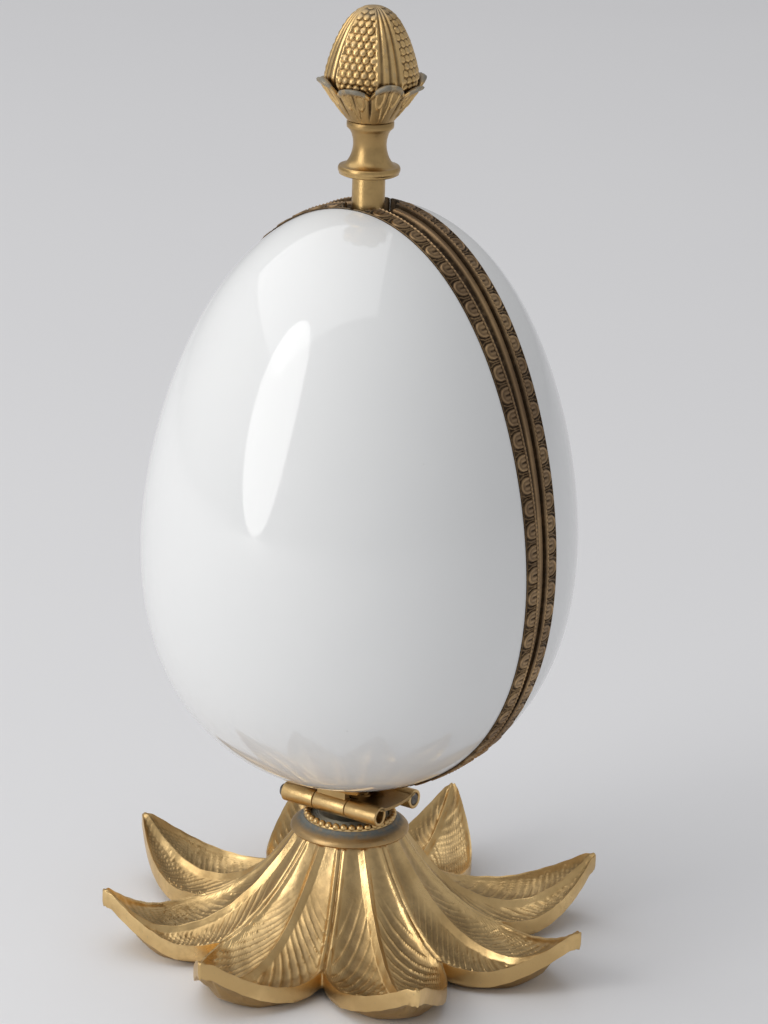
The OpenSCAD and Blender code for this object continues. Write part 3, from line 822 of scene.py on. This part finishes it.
def finial_calyx():
    """Cup of eight broad lobes, each ending in two curled tips"""
    turns = 480
    turn = np.linspace(0, 2 * np.pi, turns, endpoint=False)
    local = (np.mod(turn - LOBE_TURN + LOBE / 2, LOBE) - LOBE / 2) / (LOBE / 2)
    side = np.abs(local)
    lower = np.mod(np.round((turn - LOBE_TURN) / LOBE), 2) == 0
    top = CALYX_TOP_Z + 0.5 - 1.5 * lower - (3.4 - 1.5 * lower) * side**2.6
    rows, shades, patinas = [], [], []

    def add(r, z, shade, patina):
        rows.append(np.stack([r * np.cos(turn), r * np.sin(turn), z * np.ones(turns)], -1))
        shades.append(np.broadcast_to(shade, (turns,)))
        patinas.append(np.broadcast_to(patina, (turns,)))

    def wall(t):
        z = CALYX_Z + 0.2 + t * (top - CALYX_Z - 0.2)
        r = np.interp(z - CALYX_Z, [0, 0.3, 4.1, 8.3, 9.6, 10.6], [5.7, 6.0, 8.9, 11.8, 12.6, 12.9])
        return r, z

    add(2.1 * np.ones(turns), CALYX_Z, 0.5, 0)
    add(5.2 * np.ones(turns), CALYX_Z, 0.5, 0)
    for t in np.linspace(0, 1, 64):
        r, z = wall(t)
        scroll = np.hypot((side - 0.42) * 1.5, (t - 0.72) * 1.25)
        vein = np.maximum(1 - np.abs(scroll - 0.34) / 0.09, 0) * (t < 0.86)
        vein = np.maximum(vein, 0.8 * np.maximum(1 - np.abs(side - 0.12 - 0.25 * t) / 0.06, 0) * (t < 0.6))
        relief = 0.42 * vein - 0.3 * ridge(local, 0.05) * smooth_step((t - 0.3) * 3)
        relief = relief - 0.6 * ridge(side - 1, 0.08) * smooth_step(t * 1.6)
        curl = smooth_step((t - 0.82) / 0.14)
        knob = 0.35 + 0.85 * ridge(side - 0.3, 0.35) * (1 - side**4)
        grow = relief * smooth_step(t * 4) * (1 - curl) + knob * curl
        # Painted shade from the relief: dark in the grooves and notches, lighter on the raised veins and the
        # curled tips
        add(r + grow, z, 0.45 - 1.2 * relief - 0.4 * curl, 0.8 * curl * (side < 0.75))
    r, z = wall(1.0)
    add(r + 0.2 + 0.6 * ridge(side - 0.3, 0.35) * (1 - side**4), z + 0.3, 0.2, 0.9 * (side < 0.75))
    add(r - 0.45, z + 0.25, 0.5, 0.6)
    # Painted shade on the cup's inner face
    for t in np.linspace(0.97, 0.2, 18):
        r, z = wall(t)
        add(np.minimum(r - 0.6, bud_radius(z) + 0.35 + 0.3 * t), z, 0.9, 0.1)
    add(2.1 * np.ones(turns), CALYX_Z + 1.5, 0.8, 0)
    faces = grid_faces(len(rows), turns, True, True)
    return (np.vstack(rows), faces), np.concatenate(shades), np.concatenate(patinas)


def flange_outline():
    """Bell-shaped flange, waist and chamfered ring under the calyx"""
    rim_z, rim_r, waist_z, waist_r = STEM_TOP + 1.5, 7.85, STEM_TOP + 7.9, 4.2
    points = [(2.05, STEM_TOP), (6.9, STEM_TOP), (rim_r - 0.3, STEM_TOP + 0.35)]
    for a in np.radians(np.linspace(-60, 60, 8)):
        points.append((rim_r - 0.6 + 0.6 * math.cos(a), rim_z + 0.95 * math.sin(a)))
    for a in np.radians(np.linspace(4, 90, 18)):
        points.append((waist_r + (rim_r - 0.7 - waist_r) * (1 - math.sin(a)) ** 0.9,
                       waist_z - (waist_z - rim_z - 0.9) * math.cos(a)))
    ring_z = CALYX_Z - 2.4
    points += [(4.3, waist_z + 1.2), (4.7, ring_z - 0.7), (5.05, ring_z - 0.1), (5.1, ring_z + 0.05),
               (5.85, ring_z + 0.75), (5.95, ring_z + 1.0), (5.95, CALYX_Z - 0.25),
               (5.75, CALYX_Z), (2.05, CALYX_Z)]
    return points


# ---------------------------------------------------------------- turned and small parts

def collar_outline():
    """Sloping grey collar that thins to a soft edge over the leaves"""
    z, r = SHOULDER_Z, high("foot_collar", X)
    return [(TIE_HOLE_R, z), (r - 2.2, z), (r - 0.9, z - 0.55), (r - 0.3, z - 0.62), (r, z - 0.2),
            (r - 0.1, z + 0.35), (r - 0.5, z + 0.85), (r - 1.2, z + 1.35), (r - 2.0, z + 1.8),
            (13.1, z + 2.1), (12.75, z + 2.25), (12.6, z + 2.5), (12.35, z + 2.75), (12.2, z + 2.9),
            (TIE_HOLE_R, z + 2.9)]


def neck_outline():
    """Dished neck with fine turned lines at its foot"""
    z0, z1 = low("neck", Z), high("neck", Z)
    points = [(TIE_HOLE_R, z0), (10.1, z0), (10.1, z0 + 0.45)]
    for k in range(4):
        r = 9.9 - 0.55 * k
        points += [(r, z0 + 0.6 + 0.2 * k), (r - 0.18, z0 + 0.46 + 0.2 * k)]
    for a in np.radians(np.linspace(10, 88, 12)):
        points.append((4.9 + 2.9 * (1 - math.sin(a)), z0 + 4.4 - 3.2 * math.cos(a)))
    return points + [(4.9, z1), (TIE_HOLE_R, z1)]


def pearl_ring():
    count, ring_r, pearl_r = 34, 11.3, 0.98
    z = low("neck", Z) + 0.75
    balls = []
    for k in range(count):
        a = 2 * math.pi * k / count
        balls.append(ball((ring_r * math.cos(a), ring_r * math.sin(a), z), pearl_r))
    bed = revolve(rounded([(10.5, z - 0.75), (12.1, z - 0.75), (12.0, z - 0.15), (10.6, z - 0.15)], 0.1, 3))
    return join(bed, *balls)


def tube(from_x, to_x, outer, inner, y, z):
    """Hinge tube along X with softened ends"""
    outline = rounded([(inner, from_x), (outer, from_x), (outer, to_x), (inner, to_x)], 0.28, 5)
    return along_x(revolve(outline, 64), y, z)


def pin(from_x, to_x, radius, y, z):
    outline = rounded([(0.01, from_x), (radius, from_x), (radius, to_x), (0.01, to_x)], 0.35, 4)
    return along_x(revolve(outline, 48), y, z)


def dish_outline():
    """Shallow turned dish round the stem, with a rolled lip"""
    z, z1, r = low("dish", Z), high("dish", Z), high("dish", X)
    return rounded([
        (STEM_R + 0.05, z), (r - 3.4, z), (r - 2.3, z + 0.5), (r - 0.35, z1 - 1.1), (r, z1 - 0.5),
        (r - 0.4, z1), (r - 1.2, z1 - 0.3), (r - 3.3, z + 1.8), (r - 4.6, z + 1.2), (8.2, z + 1.2),
        (6.9, z + 1.5), (6.4, z + 3.0), (6.2, z1 - 0.4), (5.6, z1), (STEM_R + 0.05, z1)], 0.5, 4)


# ---------------------------------------------------------------- assembly

def build_base():
    foot, shade = leaf_foot()
    make("leaf_foot_casting", foot, GILT_FOOT, "base", ["leaf_foot"], 65, shade_and_grime=shade)
    collar = revolve(collar_outline(), 192)
    from_axis = np.hypot(collar[0][:, 0], collar[0][:, 1])
    make("foot_collar_disc", collar, GREY_GILT, "base", ["foot_collar"],
         shade_and_grime=0.2 + 0 * from_axis, patina=smooth_step((14.7 - from_axis) / 1.7))
    make("pearl_beads", pearl_ring(), GILT_FOOT, "base", ["pearl_ring"])
    make("dished_neck", revolve(neck_outline(), 160), VERDIGRIS, "base", ["neck"], 30)
    stem = [(0.01, low("stem", Z)), (TIE_R, low("stem", Z)), (TIE_R, TIE_TOP_Z), (STEM_R, TIE_TOP_Z),
            (STEM_R, STEM_TOP), (0.01, STEM_TOP)]
    make("stem_rod", revolve(rounded(stem, 0.3, 4), 96), GILT_TRIM, "base", ["stem"])
    make("flange_turning", revolve(flange_outline(), 160), GILT_TRIM, "base", ["finial_flange"])
    shape, shade, worn = finial_calyx()
    make("calyx_lobes", shape, GILT_BUD, "base", ["finial_calyx"], 60, shade, worn)
    shape, shade, worn = finial_bud()
    make("flower_bud", shape, GILT_BUD, "base", ["finial_bud"], 70, shade, worn)
    make("dish_bowl", revolve(dish_outline(), 160), GILT_TRIM, "base", ["dish"])
    z0, z1, r = low("dish_collar", Z), high("dish_collar", Z), high("dish_collar", X)
    collar = rounded([(STEM_R + 0.05, z0), (r, z0), (r, z1), (STEM_R + 0.05, z1)], 0.6, 5)
    make("dish_boss", revolve(collar, 96), GILT_TRIM, "base", ["dish_collar"])


KNUCKLE_R = 2.6
BORE_R = 1.7
PIN_R = 1.65
PIN_SUNK = {"front_half": 1.6, "rear_half": 0.1}
JOINT_GAP = 0.2


def slab_sheet(xs, ys, top, bottom):
    """A sheet over a grid of x and y between two heights given as functions of x and y"""
    gx, gy = np.meshgrid(xs, ys, indexing="ij")
    upper = np.stack([gx, gy, top(gx, gy)], -1).reshape(-1, 3)
    under = np.stack([gx, gy, bottom(gx, gy)], -1).reshape(-1, 3)
    rows, columns = gx.shape
    count = rows * columns
    faces = grid_faces(rows, columns)
    faces += [tuple(v + count for v in reversed(f)) for f in faces]
    ring = list(range(columns))
    ring += [i * columns + columns - 1 for i in range(1, rows)]
    ring += [(rows - 1) * columns + k for k in range(columns - 2, -1, -1)]
    ring += [i * columns for i in range(rows - 2, 0, -1)]
    for a, b in zip(ring, ring[1:] + ring[:1]):
        faces.append((a, b, b + count, a + count))
    return np.vstack([upper, under]), faces


def egg_under(x, y, drop):
    """Height of the lower side of the egg at x and y, less a drop"""
    r_out, z_out, _, _ = egg_outline(BAND_RISE)
    below = z_out < EGG_Z - 30
    return np.interp(np.hypot(x, y), r_out[below], z_out[below]) - drop


STRAP_HALF_L = 9.0
STRAP_IN_Y = 1.2
STRAP_OUT_Y = 9.4
STRAP_T = 1.3
STRAP_EDGE_T = 0.15


def strap_shape(side):
    """Curved leaf of sheet metal under the rim, with a web that stands on its knuckle"""

    def top(x, y):
        return egg_under(x, y, 0.02)

    def bottom(x, y):
        thick = smooth_step((STRAP_HALF_L - np.abs(x)) / 0.8) * smooth_step((STRAP_OUT_Y - y) / 0.6)
        bow = 0.1 * (np.abs(x) / STRAP_HALF_L) ** 2
        return egg_under(x, y, STRAP_EDGE_T + STRAP_T * thick) + bow

    xs = np.linspace(-STRAP_HALF_L, STRAP_HALF_L, 37)
    ys = np.linspace(STRAP_IN_Y, STRAP_OUT_Y, 19)
    leaf = slab_sheet(xs, ys, top, bottom)
    web_x = np.linspace(-4.4, 4.4, 15)
    web_y = np.linspace(7.0, 9.0, 7)
    web = slab_sheet(web_x, web_y, lambda x, y: egg_under(x, y, 0.6), lambda x, y: 42.2 + 0 * x)
    points, faces = join(leaf, web)
    return points * [1, side, 1], faces


PLATE_HALF_L = 15.0
PLATE_T = 0.8
WAIST_HALF_L = 5.8
WAIST_HALF_W = 4.4


def plate_shape():
    """Thin dished plate between the two fixed pairs of tubes, waisted where the halves turn"""
    axis_y, axis_z = 8.0, 40.0

    def top(x, y):
        return axis_z + 1.3 + 0.95 * (np.abs(y) / axis_y) ** 2

    def bottom(x, y):
        return top(x, y) - PLATE_T

    ys = np.linspace(-axis_y, axis_y, 25)
    wings = [slab_sheet(np.linspace(side * WAIST_HALF_L, side * PLATE_HALF_L, 13), ys, top, bottom)
             for side in (-1, 1)]
    waist = slab_sheet(np.linspace(-WAIST_HALF_L, WAIST_HALF_L, 13),
                       np.linspace(-WAIST_HALF_W, WAIST_HALF_W, 13), top, bottom)
    return join(*wings, waist)


def build_hinge(body, node_prefix):
    hinge = HINGES[body]
    y, z = hinge["pos_m"][1] / MM, hinge["pos_m"][2] / MM
    fixed, turning = node_prefix + "_fixed_knuckles", node_prefix + "_knuckle"
    ends = (low(fixed, X), low(turning, X), high(turning, X), high(fixed, X))
    left = tube(ends[0], ends[1] - JOINT_GAP, KNUCKLE_R, BORE_R, y, z)
    right = tube(ends[2] + JOINT_GAP, ends[3], KNUCKLE_R, BORE_R, y, z)
    make(node_prefix + "_fixed_tubes", join(left, right), GILT_FOOT, "base", [fixed])
    make(node_prefix + "_turning_tube", tube(ends[1], ends[2], KNUCKLE_R, BORE_R, y, z),
         GILT_FOOT, body, [turning])
    pin_node = node_prefix + "_hinge_pin"
    make(node_prefix + "_pin", pin(low(pin_node, X), high(pin_node, X) - PIN_SUNK[body], PIN_R, y, z),
         STEEL, "base", [pin_node])


def build_plate():
    make("plate_between_hinges", plate_shape(), GILT_TRIM, "base", ["hinge_plate"], 35)


def build_halves():
    for body, prefix, mirrored in (("front_half", "front", False), ("rear_half", "rear", True)):
        make(prefix + "_porcelain", half_shell(body, mirrored), PORCELAIN, body,
             [prefix + "_shell"])
        make_rim(body, prefix + "_rim_band", prefix + "_rim", mirrored)
        build_hinge(body, prefix)
        points, faces = strap_shape(1 if mirrored else -1)
        make(prefix + "_strap_leaf", (at_rest(points, body), faces), GILT_TRIM, body,
             [prefix + "_strap"], 35)
    # crest holds the lip's painted shade and painted highlight
    lip, crest = closing_lip()
    make("lip_rail", lip, BRONZE, "rear_half", ["closing_lip"], shade_and_grime=crest)


def finish_cad_nodes():
    """CAD nodes whose shapes are right get their materials"""
    looks = {
        "front_rivets": GILT_TRIM, "rear_rivets": GILT_TRIM, "foot_washer": GREY_GILT,
        "foot_nut": STEEL, "finial_stud": STEEL, "dish_screw": STEEL,
    }
    for node, material in looks.items():
        obj = frame["nodes"][node]
        obj.data.materials.clear()
        obj.data.materials.append(material)


# ---------------------------------------------------------------- stage, light, camera

CENTRE = Vector((0, 0, EGG_Z * MM))
CAMERA_AZIMUTH = 34.46
CAMERA_ELEVATION = 17.346
CAMERA_DISTANCE = 1.0
CAMERA_LENS = 137.19
CAMERA_ROLL = -1.693
CAMERA_YAW = 0.367
CAMERA_PITCH = 0.213
SENSOR_WIDTH = 36
WORLD_STRENGTH = 0.43
FLOOR_REACH = 5.0


def around(azimuth, elevation, distance):
    """A place seen from the egg's centre; azimuth 0 is in front, and 90 is at +X"""
    a, e = math.radians(azimuth), math.radians(elevation)
    return CENTRE + distance * Vector((math.sin(a) * math.cos(e), -math.cos(a) * math.cos(e), math.sin(e)))


def softbox(name, azimuth, elevation, distance, width, height, power, tint=(1, 1, 1), shape="RECTANGLE"):
    light = bpy.data.lights.new(name, "AREA")
    light.shape = shape
    light.size, light.size_y = width, height
    light.energy = power
    light.color = tint
    obj = bpy.data.objects.new(name, light)
    obj.location = around(azimuth, elevation, distance)
    obj.rotation_euler = (CENTRE - obj.location).to_track_quat("-Z", "Y").to_euler()
    bpy.context.scene.collection.objects.link(obj)
    return obj


def build_stage():
    steps = 24
    line = np.linspace(-FLOOR_REACH, FLOOR_REACH, steps)
    points = np.stack([*np.meshgrid(line, line), np.zeros((steps, steps))], -1).reshape(-1, 3)
    mesh = bpy.data.meshes.new("floor")
    mesh.from_pydata(points.tolist(), [], grid_faces(steps, steps))
    mesh.materials.append(floor_material())
    floor = bpy.data.objects.new("floor", mesh)
    bpy.context.scene.collection.objects.link(floor)


def build_light():
    scene = bpy.context.scene
    scene.view_settings.view_transform = "Standard"
    world = bpy.data.worlds.new("studio")
    world.use_nodes = True
    world.node_tree.nodes["Background"].inputs["Color"].default_value = (0.93, 0.93, 0.945, 1)
    world.node_tree.nodes["Background"].inputs["Strength"].default_value = WORLD_STRENGTH
    scene.world = world
    softbox("key", -20, 22, 1.5, 0.72, 1.45, 6.8, (1, 0.99, 0.97), "ELLIPSE")
    softbox("overhead", -60, 68, 2.4, 3.4, 3.4, 32)
    soft = softbox("side", -50, 12, 2.2, 1.4, 1.6, 3.5, (1, 0.98, 0.95))
    soft.visible_glossy = False


def build_camera():
    location = around(CAMERA_AZIMUTH, CAMERA_ELEVATION, CAMERA_DISTANCE)
    back = (location - CENTRE).normalized()
    right = Vector((0, 0, 1)).cross(back).normalized()
    axes = Matrix((right, back.cross(right), back))
    axes = Matrix.Rotation(math.radians(CAMERA_YAW), 3, "Y") @ axes
    axes = Matrix.Rotation(math.radians(CAMERA_PITCH), 3, "X") @ axes
    axes = Matrix.Rotation(math.radians(CAMERA_ROLL), 3, "Z") @ axes
    camera = bpy.data.cameras.new("camera")
    camera.sensor_width = SENSOR_WIDTH
    camera.lens = CAMERA_LENS
    obj = bpy.data.objects.new("camera", camera)
    obj.matrix_world = Matrix.Translation(location) @ axes.transposed().to_4x4()
    bpy.context.scene.collection.objects.link(obj)
    bpy.context.scene.camera = obj


build_stage()
build_light()
build_camera()
build_base()
build_plate()
build_halves()
finish_cad_nodes()
